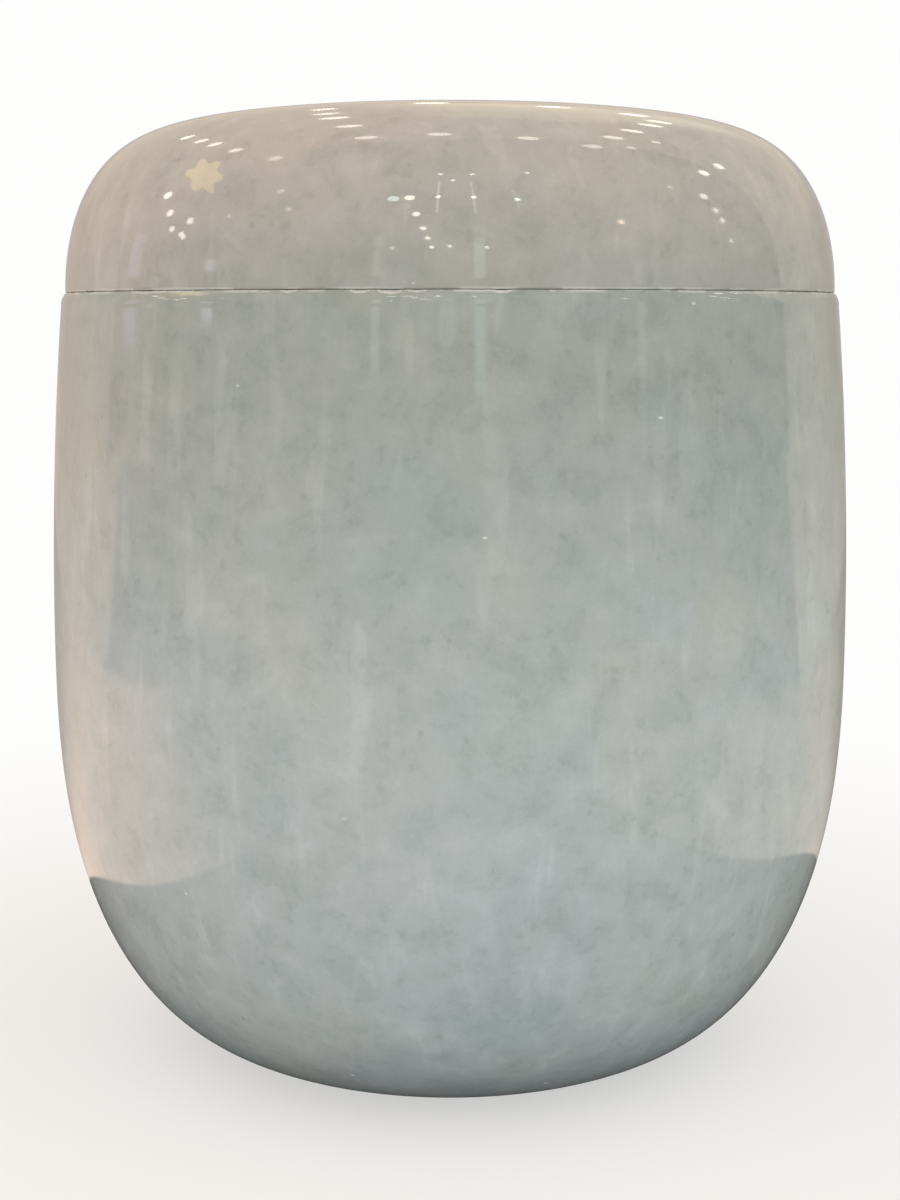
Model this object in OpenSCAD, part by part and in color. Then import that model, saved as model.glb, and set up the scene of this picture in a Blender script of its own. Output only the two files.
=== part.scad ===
// Round stone urn with a lift-off lid. Millimetres, +Z up.
// The origin is the centre of the underside, on the urn's own axis.

/* [Body] */
// Radius of the flat underside the urn stands on
foot_r = 50; // [40:1:65]
// Radius of the widest ring
body_r = 113; // [100:1:150]
// Height of the widest ring above the underside
belly_z = 116; // [90:1:135]
// Height of the body's rim, where the lid sits
rim_z = 215; // [180:1:280]
// How far the side wall leans in from the widest ring, by its top
wall_lean = 4.2; // [1:0.1:12]
// Height of the sloping edge under the rim
rim_edge_h = 3.9; // [1:0.1:8]
// How far that edge steps in to the rim
rim_edge_w = 1.3; // [0.5:0.1:4]
// Fullness of the rounded bottom, measured upwards
bowl_up = 2.51; // [2.1:0.01:3.2]
// Fullness of the rounded bottom, measured outwards
bowl_out = 2.16; // [2.02:0.01:3]

/* [Lid] */
// Height of the lid from the rim to its crown
lid_h = 48.6; // [38:0.1:70]
// Squareness of the lid's shoulder, measured outwards
dome_out = 7.2; // [4:0.1:9]
// Squareness of the lid's shoulder, measured upwards
dome_up = 1.97; // [1.6:0.01:2.4]
// Share of the crown that falls away gently instead of lying level
crown_fall = 0.1; // [0.02:0.01:0.3]

/* [Walls] */
// Thickness of the body's wall
wall_t = 16; // [10:0.5:20]
// Thickness of the body's floor
floor_t = 18; // [12:0.5:30]
// Thickness of the lid's dome
lid_t = 14; // [9:0.5:18]

/* [Mouth and spigot] */
// Width of the level rim around the body's mouth
rim_w = 16.5; // [12:0.5:28]
// Depth of the straight part of the mouth
mouth_h = 16; // [13:0.5:30]
// Slope from the straight mouth down to the hollow, along the axis
mouth_slope_h = 4; // [2:0.5:8]
// Depth of the lid's spigot inside the mouth
spigot_h = 9; // [5:0.5:12]
// Gap around the spigot inside the mouth
spigot_gap = 0.8; // [0.4:0.1:2]
// Thickness of the spigot's ring
spigot_t = 8; // [6:0.5:14]

/* [Edges] */
// Narrow slope on the lid's outer lower edge
seam_edge = 0.5; // [0.2:0.1:1]
// Slope on the inner edge of the mouth and the foot of the spigot
inner_edge = 1; // [0.5:0.1:1.5]

/* [Smoothness] */
// Steps around the rounded bottom
bowl_steps = 30; // [16:1:60]
// Steps up the side wall
wall_steps = 8; // [4:1:20]
// Steps over the lid
dome_steps = 28; // [16:1:60]

/* [Hidden] */
quarter = 90;
// Rotations are drawn as true circles.
$fn = 180;
// The lid's steps crowd together near its edge, where it turns fastest.
dome_ease = 2.4;
// Hollows are cut this far past the faces they open through.
cut_over = 1;
shoulder_r = body_r - wall_lean;
// The lid's lower edge is as wide as the rim it sits on.
lid_r = shoulder_r - rim_edge_w;
mouth_r = lid_r - rim_w;
spigot_r = mouth_r - spigot_gap;
spigot_bore_r = spigot_r - spigot_t;
wall_top = rim_z - rim_edge_h;
mouth_floor = rim_z - mouth_h - mouth_slope_h;

// Rounded bottom, from the underside's edge out to the widest ring.
function bowl_point(t) = [
  foot_r + (body_r - foot_r) * pow(sin(t), 2 / bowl_out),
  belly_z * (1 - pow(cos(t), 2 / bowl_up))
];

// Side wall, leaning in slowly from the widest ring to the rim's edge.
function wall_point(s) = [
  body_r - (body_r - shoulder_r) * s * s,
  belly_z + (wall_top - belly_z) * s
];

// Lid, from its lower edge (s = 0) towards the centre of the crown (s = 1).
function lid_share(s) = 1 - pow(s, dome_ease);
function lid_rise(q) = pow(
  max(1 - (1 - crown_fall) * pow(q, dome_out) - crown_fall * q * q, 0),
  1 / dome_up
);
function lid_point(s) = [
  lid_r * lid_share(s),
  rim_z + lid_h * lid_rise(lid_share(s))
];

// A line of points moved sideways by a true thickness, to the left of its run.
function left_of(a, b) = [a[1] - b[1], b[0] - a[0]] / norm(b - a);
function thickened(line, t) = [
  for (i = [0 : len(line) - 1])
    line[i] + t * left_of(line[max(i - 1, 0)], line[min(i + 1, len(line) - 1)])
];

body_line = concat(
  [for (i = [0 : bowl_steps]) bowl_point(quarter * i / bowl_steps)],
  [for (i = [1 : wall_steps]) wall_point(i / wall_steps)]
);
hollow_line = [
  for (p = thickened(body_line, wall_t))
    if (p[1] > floor_t && p[1] < mouth_floor) p
];
lid_line = [for (i = [0 : dome_steps - 1]) lid_point(i / dome_steps)];
dome_line = [
  for (p = thickened(lid_line, lid_t))
    if (p[0] < spigot_bore_r && p[0] > 0) p
];
// The hollow's floor meets its wall in a narrow slope.
floor_edge = hollow_line[0];
floor_edge_h = floor_edge[1] - floor_t;
// The last step is level, so the crown ends in a small flat disc.
crown_z = lid_line[dome_steps - 1][1];
crown_under_z = dome_line[len(dome_line) - 1][1];

module body_outside() {
  rotate_extrude()
    polygon(concat([[0, 0]], body_line, [[lid_r, rim_z], [0, rim_z]]));
}

module body_hollow() {
  rotate_extrude()
    polygon(concat(
      [[0, floor_t], [floor_edge[0] - floor_edge_h, floor_t]],
      hollow_line,
      [
        [mouth_r, rim_z - mouth_h],
        [mouth_r, rim_z - inner_edge],
        [mouth_r + inner_edge, rim_z],
        [mouth_r + inner_edge, rim_z + cut_over],
        [0, rim_z + cut_over]
      ]
    ));
}

module urn_body() {
  color([0.56, 0.58, 0.54])
    difference() {
      body_outside();
      body_hollow();
    }
}

module lid_outside() {
  rotate_extrude()
    polygon(concat(
      [
        [0, rim_z - spigot_h],
        [spigot_r - inner_edge, rim_z - spigot_h],
        [spigot_r, rim_z - spigot_h + inner_edge],
        [spigot_r, rim_z],
        [lid_r - seam_edge, rim_z],
        [lid_r, rim_z + seam_edge]
      ],
      [for (p = lid_line) if (p[1] > rim_z + seam_edge) p],
      [[0, crown_z]]
    ));
}

module lid_hollow() {
  rotate_extrude()
    polygon(concat(
      [
        [0, rim_z - spigot_h - cut_over],
        [spigot_bore_r, rim_z - spigot_h - cut_over],
        [spigot_bore_r, dome_line[0][1]]
      ],
      dome_line,
      [[0, crown_under_z]]
    ));
}

module urn_lid() {
  color([0.58, 0.59, 0.54])
    difference() {
      lid_outside();
      lid_hollow();
    }
}

urn_body();
urn_lid();
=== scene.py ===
"""Looks of a round stone cremation urn with a lift-off lid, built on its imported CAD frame.

Lengths are metres in the frame's own axes: +Z is up and the front of the urn faces -Y. Angles
around the urn are measured from the front and grow towards +X.
"""

import logging
import math
from collections.abc import Iterable
from dataclasses import dataclass
from enum import Enum
from typing import NamedTuple

import bpy
import numpy as np
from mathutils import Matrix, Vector


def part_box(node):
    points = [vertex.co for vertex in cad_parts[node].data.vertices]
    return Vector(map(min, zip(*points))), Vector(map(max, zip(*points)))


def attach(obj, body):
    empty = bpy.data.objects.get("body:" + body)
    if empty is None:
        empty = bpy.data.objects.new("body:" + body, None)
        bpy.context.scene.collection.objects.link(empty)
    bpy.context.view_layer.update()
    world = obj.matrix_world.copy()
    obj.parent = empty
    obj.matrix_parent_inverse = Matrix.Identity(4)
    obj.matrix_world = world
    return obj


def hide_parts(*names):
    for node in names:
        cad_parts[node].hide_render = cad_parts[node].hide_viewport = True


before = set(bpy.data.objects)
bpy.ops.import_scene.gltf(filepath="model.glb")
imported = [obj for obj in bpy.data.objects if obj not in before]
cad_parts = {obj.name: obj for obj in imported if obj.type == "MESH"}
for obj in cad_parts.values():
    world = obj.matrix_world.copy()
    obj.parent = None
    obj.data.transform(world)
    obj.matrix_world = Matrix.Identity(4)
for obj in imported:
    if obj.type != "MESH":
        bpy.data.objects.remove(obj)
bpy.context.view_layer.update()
FULL_TURN = 2 * math.pi
MM = 0.001
LOG = logging.getLogger("urn")
Colour = tuple[float, float, float]
Point = tuple[float, float]
Span = tuple[float, float]
Socket = bpy.types.NodeSocket
# Distance from the worn arris of a ring that is nowhere near it.
FAR = 1.0
# Corners of an ordinary ring, of one near an arris, of one in a hollow, and the fewest near the axis.
AROUND, FINE, INSIDE, FEWEST = 480, 1440, 240, 30
# Shares of the marked cells, and of a mark's radius, where a scattered mark is at full strength.
MARK_CORE = (0.6, 0.4)
# Limits of a random flake: its length over the longest, its drop over that, its bite over its drop.
FLAKE_LENGTH, FLAKE_DROP, FLAKE_BITE = (0.2, 1.0), (0.09, 0.17), (0.3, 0.45)
# Flakes at the front of the body's rim: angle, length, drop and bite, in degrees and millimetres.
FRONT_CHIPS = (
    (-44.0, 7.5, 0.75, 0.3025),
    (-40.5, 4.0, 0.45, 0.1925),
    (-36.0, 3.0, 0.35, 0.165),
    (-20.5, 5.0, 0.6, 0.2475),
    (-16.0, 2.2, 0.3, 0.1375),
    (-11.2, 5.2, 0.75, 0.33),
    (-7.4, 6.0, 0.95, 0.4125),
    (-4.0, 5.5, 0.65, 0.33),
    (-1.2, 2.4, 0.35, 0.165),
    (3.6, 3.4, 0.55, 0.2475),
    (6.4, 5.2, 0.7, 0.275),
    (12.8, 2.2, 0.4, 0.1925),
    (18.2, 6.5, 0.35, 0.165),
    (23.5, 7.0, 0.3, 0.154),
    (28.5, 4.0, 0.4, 0.1925),
    (33.0, 2.0, 0.25, 0.11),
    (40.5, 4.5, 0.4, 0.1925),
    (46.5, 6.5, 0.35, 0.165),
    (52.5, 4.0, 0.45, 0.1925),
)


class Polish(Enum):
    """How far a turned face was worked up. The value is the share of honed finish."""

    BRIGHT = 0.0
    HONED = 1.0


def eased(value: float | np.ndarray, low: float = 0.0, high: float = 1.0) -> float | np.ndarray:
    """Smooth step of a value, from 0 at low to 1 at high."""
    held = np.clip((value - low) / (high - low), 0.0, 1.0)
    return held * held * (3 - 2 * held)


def shares(steps: int, first: int = 1) -> list[float]:
    """Even shares of a whole, from the first step's up to 1."""
    return [i / steps for i in range(first, steps + 1)]


@dataclass(frozen=True)
class Ring:
    """One level circle of a turned surface."""

    radius: float  # Distance from the axis.
    height: float  # Height above the underside.
    around: int  # Number of corners around the circle.
    polish: Polish = Polish.BRIGHT  # Finish of the face there.
    edge: float = FAR  # Distance along the outline from the worn arris, negative on its hidden side.
    uneven: float = 0.0  # Share of the hand-polished unevenness that shows there.


@dataclass(frozen=True)
class Chip:
    """One flake lost from an arris."""

    angle: float  # Place around the urn, in degrees from the front.
    length: float  # Extent along the arris.
    drop: float  # Extent away from the arris, over the face.
    bite: float  # Depth at its middle.


@dataclass(frozen=True)
class HandWork:
    """The slight unevenness that hand polishing leaves in a turned face."""

    height: float  # Typical height of the unevenness.
    shortest: float  # Shortest ripple.
    seed: int  # Seed of the draws.
    longest: float = 70 * MM  # Longest ripple.
    ripples: int = 9  # Number of overlaid ripples.

    def swell(self, angles: np.ndarray, run: float, girth: float) -> np.ndarray:
        """Height of the unevenness along one ring.

        Args:
            angles: Angles of the ring's corners, in radians.
            run: Distance of the ring along the outline.
            girth: Radius that turns lengths into whole ripples around the urn.

        Returns:
            One height per corner.
        """
        draw = np.random.default_rng(self.seed)
        total = np.zeros_like(angles)
        for _ in range(self.ripples):
            length = draw.uniform(self.shortest, self.longest)
            heading = draw.uniform(0, FULL_TURN)
            phase = draw.uniform(0, FULL_TURN)
            around = round(FULL_TURN * girth * math.cos(heading) / length)
            along = FULL_TURN * math.sin(heading) * run / length
            total += np.sin(around * angles + along + phase)
        return total * self.height / math.sqrt(self.ripples)


@dataclass(frozen=True)
class Arris:
    """A turned edge with the flakes it has lost."""

    girth: float  # Radius of the edge.
    chips: tuple[Chip, ...]  # Flakes lost from it.
    sinks: float  # Which way stone is lost upright: -1 down from a rim, 1 up from a lower edge.
    seed: int  # Seed of the ragged outlines.
    rag: float = 0.45  # How ragged the flakes' outlines are, as a share of their size.
    inward: float = 0.9  # Share of a flake's depth that is lost inwards.
    upright: float = 0.6  # Share of it that is lost upright, right at the edge.
    lip: float = 1.6 * MM  # Distance from the edge over which that share fades out.
    hidden_side: float = 0.6  # Reach of a flake on the hidden side, over that on the face.
    least: float = 0.1 * MM  # Least reach of a flake.
    crumble: float = 0.3  # How uneven a flake's depth is, as a share of it.

    # Spacing and weight of the rough lines that are laid over one another.
    ROUGH = ((6 * MM, 0.4), (2.6 * MM, 0.35), (1.3 * MM, 0.25))

    def ragged(self, angles: np.ndarray) -> np.ndarray:
        """A rough line along the edge, from about -1 to 1.

        Args:
            angles: Angles of the corners, in radians.

        Returns:
            One value per corner.
        """
        draw = np.random.default_rng(self.seed)
        line = np.zeros_like(angles)
        for spacing, weight in self.ROUGH:
            knots = round(FULL_TURN * self.girth / spacing)
            values = draw.uniform(-1, 1, knots)
            place = (angles % FULL_TURN) / FULL_TURN * knots
            low = np.floor(place).astype(int)
            share = eased(place - low)
            line += weight * (values[low % knots] * (1 - share) + values[(low + 1) % knots] * share)
        return line

    def lost(self, angles: np.ndarray, away: float) -> np.ndarray:
        """Depth of stone lost along one ring near the edge.

        Args:
            angles: Angles of the ring's corners, in radians.
            away: Distance from the edge, negative on its hidden side.

        Returns:
            One depth per corner.
        """
        rough = self.ragged(angles)
        deepest = np.zeros_like(angles)
        side = 1.0 if away >= 0 else self.hidden_side
        for chip in self.chips:
            turn = (angles - math.radians(chip.angle) + math.pi) % FULL_TURN - math.pi
            across = turn * self.girth / (chip.length / 2)
            reach = np.maximum(chip.drop * side * (1 + self.rag * rough), self.least)
            spread = across**2 + (away / reach) ** 2
            scoop = np.sqrt(np.clip(1 - spread, 0, 1))
            deepest = np.maximum(deepest, chip.bite * scoop * (1 + self.crumble * rough))
        return deepest

    def upright_share(self, away: float) -> float:
        """Share of a flake's depth that is lost upright at a distance from the edge."""
        return self.sinks * self.upright * max(0.0, 1 - max(away, 0.0) / self.lip)


def drawn_chips(count: int, spread: Span, largest: float, seed: int) -> list[Chip]:
    """Flakes drawn at random along an edge.

    Args:
        count: Number of flakes.
        spread: First and last angle they may have, in degrees.
        largest: Longest a flake may be.
        seed: Seed of the draws.

    Returns:
        The flakes.
    """
    draw = np.random.default_rng(seed)
    chips = []
    for _ in range(count):
        length = draw.uniform(*FLAKE_LENGTH) * largest
        drop = length * draw.uniform(*FLAKE_DROP)
        chips.append(Chip(draw.uniform(*spread), length, drop, drop * draw.uniform(*FLAKE_BITE)))
    return chips


def outward(line: list[Point]) -> list[Point]:
    """Outward direction of an outline at each of its points.

    Args:
        line: Points as (radius, height), with the stone to the left of their run.

    Returns:
        Directions as (outwards, upwards).
    """
    directions = []
    for i in range(len(line)):
        a, b = line[max(i - 1, 0)], line[min(i + 1, len(line) - 1)]
        run, rise = b[0] - a[0], b[1] - a[1]
        length = math.hypot(run, rise)
        directions.append((rise / length, -run / length))
    return directions


def thickened(line: list[Point], thickness: float) -> list[Point]:
    """An outline moved into the stone by a true thickness."""
    pairs = zip(line, outward(line))
    return [(r - thickness * out, h - thickness * up) for (r, h), (out, up) in pairs]


def placed(name: str, corners: list, faces: list[tuple[int, ...]]) -> bpy.types.Object:
    """Makes a mesh object and links it to the scene.

    Args:
        name: Name of the object and of its mesh.
        corners: Places of its corners.
        faces: Numbers of each face's corners.

    Returns:
        The object.
    """
    mesh = bpy.data.meshes.new(name)
    mesh.from_pydata(corners, [], faces)
    made = bpy.data.objects.new(name, mesh)
    bpy.context.scene.collection.objects.link(made)
    return made


@dataclass
class Turning:
    """A closed turned solid, made of rings that may differ in how finely they are divided."""

    name: str  # Name of the finished piece.
    rings: list[Ring]  # Rings in order, with the stone to the left of their run.
    work: HandWork  # Unevenness of the hand-polished faces.
    arris: Arris  # The chipped edge that Ring.edge measures from.

    def corners(self) -> tuple[np.ndarray, np.ndarray]:
        """Places every corner, with the unevenness and the chips.

        Returns:
            The corners, and the depth of stone lost at each.
        """
        places, losses = [], []
        run = 0.0
        before = self.rings[0]
        line = [(ring.radius, ring.height) for ring in self.rings]
        for ring, (out, up) in zip(self.rings, outward(line)):
            run += math.hypot(ring.radius - before.radius, ring.height - before.height)
            before = ring
            angles = np.arange(ring.around) * FULL_TURN / ring.around
            swell = np.zeros_like(angles)
            if ring.uneven > 0:
                swell = ring.uneven * self.work.swell(angles, run, self.arris.girth)
            lost = self.arris.lost(angles, ring.edge)
            radius = ring.radius + out * swell - self.arris.inward * lost
            height = ring.height + up * swell + self.arris.upright_share(ring.edge) * lost
            places.append(np.stack([radius * np.sin(angles), -radius * np.cos(angles), height], 1))
            losses.append(lost)
        return np.concatenate(places), np.concatenate(losses)

    def faces(self) -> list[tuple[int, ...]]:
        """Joins each ring to the next and closes both ends.

        Returns:
            Numbers of each face's corners.
        """
        starts = [0]
        for ring in self.rings:
            starts.append(starts[-1] + ring.around)
        faces = [tuple(range(self.rings[0].around))[::-1]]
        for i in range(len(self.rings) - 1):
            low, high = self.rings[i].around, self.rings[i + 1].around
            sides = min(low, high)
            low_step, high_step = low // sides, high // sides
            for k in range(sides):
                below = [starts[i] + (k * low_step + j) % low for j in range(low_step + 1)]
                above = [starts[i + 1] + (k * high_step + j) % high for j in range(high_step + 1)]
                faces.append(tuple(below + above[::-1]))
        faces.append(tuple(range(starts[-2], starts[-1])))
        return faces

    def build(self) -> bpy.types.Object:
        """Makes the mesh object and links it to the scene.

        Returns:
            The finished object.
        """
        places, lost = self.corners()
        piece = placed(self.name, places.tolist(), self.faces())
        mesh = piece.data
        mesh.polygons.foreach_set("use_smooth", [True] * len(mesh.polygons))
        honed = [ring.polish.value for ring in self.rings for _ in range(ring.around)]
        edge = [abs(ring.edge) for ring in self.rings for _ in range(ring.around)]
        for label, values in (("lost", lost), ("honed", honed), ("from_edge", edge)):
            layer = mesh.attributes.new(label, "FLOAT", "POINT")
            layer.data.foreach_set("value", np.asarray(values, np.float32))
        mesh.update()
        return piece


def honed(radius: float, height: float, around: int, edge: float = FAR) -> Ring:
    """A ring of a honed face."""
    return Ring(radius, height, around, Polish.HONED, edge)


def narrowing(radius: float, full: int, full_radius: float) -> int:
    """Number of corners for a ring near the axis, halved as the ring shrinks.

    Args:
        radius: Radius of the ring.
        full: Corners of a wide ring.
        full_radius: Radius from which a ring has them all.

    Returns:
        The number of corners.
    """
    around = full
    while radius < full_radius and around // 2 >= FEWEST:
        around //= 2
        full_radius /= 2
    return around


class Texture(NamedTuple):
    """A cloudy noise."""

    scale: float  # Clouds per metre.
    detail: float  # How many times finer clouds are laid over them.
    rough: float = 0.5  # Strength of the finer clouds.
    warp: float = 0.0  # How far they are pulled about.


@dataclass
class Wiring:
    """Adds and joins nodes in one shader tree. The share given to a mix is that of its second part."""

    tree: bpy.types.NodeTree

    def add(self, kind: str, given: dict | None = None, **settings: object) -> bpy.types.Node:
        """Adds a node.

        Args:
            kind: Blender's name for the node's type.
            given: What each input gets, by name or number.
            **settings: Properties to set on it.

        Returns:
            The node.
        """
        node = self.tree.nodes.new(kind)
        for name, value in settings.items():
            setattr(node, name, value)
        for name, value in (given or {}).items():
            self.feed(node.inputs[name], value)
        return node

    def feed(self, socket: Socket, value: object) -> None:
        """Joins a socket to another, or sets its value.

        Args:
            socket: The input to feed.
            value: An output socket, a number, a place or a colour.
        """
        if isinstance(value, Socket):
            self.tree.links.new(value, socket)
        else:
            socket.default_value = (*value, 1) if socket.type == "RGBA" else value

    def result(self, kind: str, given: dict, out: int | str = 0, **settings: object) -> Socket:
        """One output of a new node."""
        return self.add(kind, given, **settings).outputs[out]

    def maths(self, operation: str, *values: object) -> Socket:
        """Result of a Math node."""
        return self.result("ShaderNodeMath", dict(enumerate(values)), operation=operation)

    def times(self, a: object, b: object) -> Socket:
        """Product of two values."""
        return self.maths("MULTIPLY", a, b)

    def vector(self, operation: str, *values: object, out: int | str = 0) -> Socket:
        """Result of a Vector Math node."""
        given = dict(enumerate(values))
        return self.result("ShaderNodeVectorMath", given, out, operation=operation)

    def parts(self, place: object) -> list[Socket]:
        """The x, y and z of a vector."""
        return list(self.add("ShaderNodeSeparateXYZ", {0: place}).outputs)

    def bearing(self, x: object, y: object) -> Socket:
        """Angle round the urn in degrees, from the front and growing to the right."""
        return self.maths("DEGREES", self.maths("ARCTAN2", x, self.times(y, -1.0)))

    def step(
        self, value: object, low: float, high: float, start: float = 0.0, end: float = 1.0
    ) -> Socket:
        """Smooth step of a value, from start at low to end at high."""
        given = {"Value": value, "From Min": low, "From Max": high, "To Min": start, "To Max": end}
        return self.result("ShaderNodeMapRange", given, interpolation_type="SMOOTHSTEP")

    def within(self, value: object, low: float, high: float, soft: float) -> Socket:
        """Share of 1 where a value lies between two limits, with soft fades at both."""
        above = self.step(value, low - soft / 2, low + soft / 2)
        return self.times(above, self.step(value, high - soft / 2, high + soft / 2, 1.0, 0.0))

    def noise(self, place: object, texture: Texture) -> Socket:
        """Cloudy noise of a texture, read at a place."""
        given = zip(("Vector", "Scale", "Detail", "Roughness", "Distortion"), (place, *texture))
        return self.result("ShaderNodeTexNoise", dict(given), "Fac", noise_dimensions="3D")

    def mix(self, share: object, a: object, b: object, blend: str = "MIX") -> Socket:
        """Mix of two colours."""
        given = {0: share, 6: a, 7: b}
        return self.result("ShaderNodeMix", given, 2, data_type="RGBA", blend_type=blend)

    def layered(self, ground: object, layers: Iterable[tuple], blend: str = "MIX") -> Socket:
        """Colours mixed over a ground one after another.

        Args:
            ground: The first colour.
            layers: The others, each as (share, colour).
            blend: How they blend.

        Returns:
            The colour's output socket.
        """
        for share, colour in layers:
            ground = self.mix(share, ground, colour, blend)
        return ground

    def blend(self, share: object, a: object, b: object) -> Socket:
        """Mix of two numbers."""
        return self.result("ShaderNodeMix", {0: share, 2: a, 3: b}, data_type="FLOAT")

    def shared(self, share: object, a: Socket, b: Socket) -> Socket:
        """Mix of two shaders."""
        return self.result("ShaderNodeMixShader", {0: share, 1: a, 2: b})

    def light(self, kind: str, colour: object) -> Socket:
        """A shader of one colour."""
        return self.result(kind, {"Color": colour})

    def finish(self, kind: str, shader: Socket) -> None:
        """Joins a shader to a new output node."""
        self.add(kind, {"Surface": shader})

    def scattered(self, place: object, scale: float, share: float, size: float) -> Socket:
        """Mask of small marks scattered at random.

        Args:
            place: Where to read it.
            scale: Cells per metre.
            share: Share of the cells that hold a mark.
            size: Radius of a mark, in cells.

        Returns:
            The mask's output socket.
        """
        cells = self.add("ShaderNodeTexVoronoi", {"Vector": place, "Scale": scale}).outputs
        drawn = self.result("ShaderNodeSeparateColor", {0: cells["Color"]})
        chosen = self.step(drawn, 1 - share, 1 - share * MARK_CORE[0])
        return self.times(chosen, self.step(cells["Distance"], size * MARK_CORE[1], size, 1.0, 0.0))


def emptied(holder: bpy.types.Material | bpy.types.World) -> Wiring:
    """Clears the nodes of a material or a world.

    Args:
        holder: The material or world.

    Returns:
        Wiring of its tree.
    """
    holder.use_nodes = True
    holder.node_tree.nodes.clear()
    return Wiring(holder.node_tree)


class StoneFigure:
    """The shared node group for the figure of the stone: its clouds, wisps, flecks and pits.

    A span holds the two noise values between which a mask rises from nothing to full.
    """

    NAME = "stone_figure"
    TINTS = ("Cool", "Warm", "Fleck", "Pale")
    CLOUDS, COOL_SPAN = Texture(27, 3, 0.5, 0.4), (0.46, 0.64)
    BANKS, WARM_SPAN = Texture(21, 2, 0.5, 0.3), (0.5, 0.68)
    BANKS_FROM = (3.1, 0.7, 1.9)
    MOTTLE = Texture(105, 4, 0.62, 0.3)
    DARK_SPAN, DARK_SHARE = (0.52, 0.34), 0.55
    PALE_SPAN, PALE_SHARE = (0.52, 0.7), 0.6
    WISPS, WISP_SPAN, WISP_SHARE = Texture(150, 2, 0.55, 0.35), (0.57, 0.7), 0.65
    WISP_STRETCH = (1.0, 1.0, 0.17)
    FINE, FLECK_SPAN, FLECK_PLACES, FLECK_SHARE = Texture(400, 2), (0.48, 0.3), (0.6, 0.42), 0.45
    SPECK_SCALE, SPECK_COUNT, SPECK_SIZE, SPECK_SHARE = 150, 0.05, 0.16, 0.22
    SPECK_COLOUR = (0.16, 0.18, 0.165)
    PIT_SCALE, PIT_COUNT, PIT_SIZE, PIT_SHARE = 120, 0.035, 0.11, 0.75
    PIT_COLOUR, PIT_SQUASH = (0.72, 0.74, 0.72), (1.0, 1.0, 1.9)
    GRAIN, GRAIN_SPAN, GRAIN_TONES = Texture(1500, 2), (0.2, 0.8), (0.98, 1.02)

    @classmethod
    def group(cls) -> bpy.types.NodeTree:
        """The node group, built the first time it is asked for.

        Returns:
            The group.
        """
        made = bpy.data.node_groups.get(cls.NAME)
        if made:
            return made
        tree = bpy.data.node_groups.new(cls.NAME, "ShaderNodeTree")
        sockets = [("Place", "Vector", "INPUT")]
        sockets += [(name, "Color", "INPUT") for name in ("Ground", *cls.TINTS)]
        sockets += [("Colour", "Color", "OUTPUT")]
        sockets += [(name, "Float", "OUTPUT") for name in ("Pits", "Grain")]
        for name, kind, side in sockets:
            tree.interface.new_socket(name=name, in_out=side, socket_type="NodeSocket" + kind)
        cls.wire(Wiring(tree))
        return tree

    @classmethod
    def wire(cls, w: Wiring) -> None:
        """Lays the nodes of the group.

        Args:
            w: Wiring of the group's tree.
        """
        given = w.add("NodeGroupInput").outputs
        place = given["Place"]
        clouds = w.noise(place, cls.CLOUDS)
        banks = w.noise(w.vector("ADD", place, cls.BANKS_FROM), cls.BANKS)
        mottle = w.noise(place, cls.MOTTLE)
        grain = w.noise(place, cls.GRAIN)
        wisps = w.noise(w.vector("MULTIPLY", place, cls.WISP_STRETCH), cls.WISPS)
        fleck_places = w.step(mottle, *cls.FLECK_PLACES, 0.0, cls.FLECK_SHARE)
        flecks = w.times(w.step(w.noise(place, cls.FINE), *cls.FLECK_SPAN), fleck_places)

        tints = (
            (w.step(clouds, *cls.COOL_SPAN), given["Cool"]),
            (w.step(banks, *cls.WARM_SPAN), given["Warm"]),
            (w.times(w.step(mottle, *cls.DARK_SPAN), cls.DARK_SHARE), given["Fleck"]),
            (w.times(w.step(mottle, *cls.PALE_SPAN), cls.PALE_SHARE), given["Pale"]),
            (w.times(w.step(wisps, *cls.WISP_SPAN), cls.WISP_SHARE), given["Pale"]),
            (flecks, given["Fleck"]),
        )
        colour = w.layered(given["Ground"], tints, "MULTIPLY")
        specks = w.scattered(place, cls.SPECK_SCALE, cls.SPECK_COUNT, cls.SPECK_SIZE)
        colour = w.mix(w.times(specks, cls.SPECK_SHARE), colour, cls.SPECK_COLOUR)
        squashed = w.vector("MULTIPLY", place, cls.PIT_SQUASH)
        pits = w.scattered(squashed, cls.PIT_SCALE, cls.PIT_COUNT, cls.PIT_SIZE)
        colour = w.mix(w.times(pits, cls.PIT_SHARE), colour, cls.PIT_COLOUR)
        tone = w.step(grain, *cls.GRAIN_SPAN, *cls.GRAIN_TONES)
        shade = w.result("ShaderNodeCombineColor", dict.fromkeys(range(3), tone))
        colour = w.mix(1.0, colour, shade, "MULTIPLY")

        w.add("NodeGroupOutput", {"Colour": colour, "Pits": pits, "Grain": grain})


@dataclass(frozen=True)
class StoneToneAndPaintedLight:
    """Colours of one block of stone, as linear red, green and blue. Its turn with height is painted
    light.
    """

    low: Colour  # Main colour of its lower part, with painted light in it.
    high: Colour  # Main colour of its upper part, with painted light in it.
    turns: Span  # Heights between which one turns into the other.
    cool: Colour = (0.95, 0.98, 0.99)  # Tint of the bluish clouds.
    warm: Colour = (1.04, 1.02, 0.98)  # Tint of the buff clouds.
    fleck: Colour = (0.83, 0.86, 0.84)  # Tint of the dark green-grey flecks.
    pale: Colour = (1.13, 1.12, 1.13)  # Tint of the pale wisps and patches.
    drift: Texture = Texture(14, 1)  # Noise that makes the turn uneven.
    uneven: float = 0.04  # Height that the noise moves it by.

    def ground(self, w: Wiring, place: Socket, height: Socket) -> Socket:
        """Main colour at a place in the block, turning with height above the underside: painted light."""
        moved = w.maths("ADD", height, w.times(w.noise(place, self.drift), self.uneven))
        return w.mix(w.step(moved, *(turn + self.uneven / 2 for turn in self.turns)), self.low, self.high)


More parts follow.
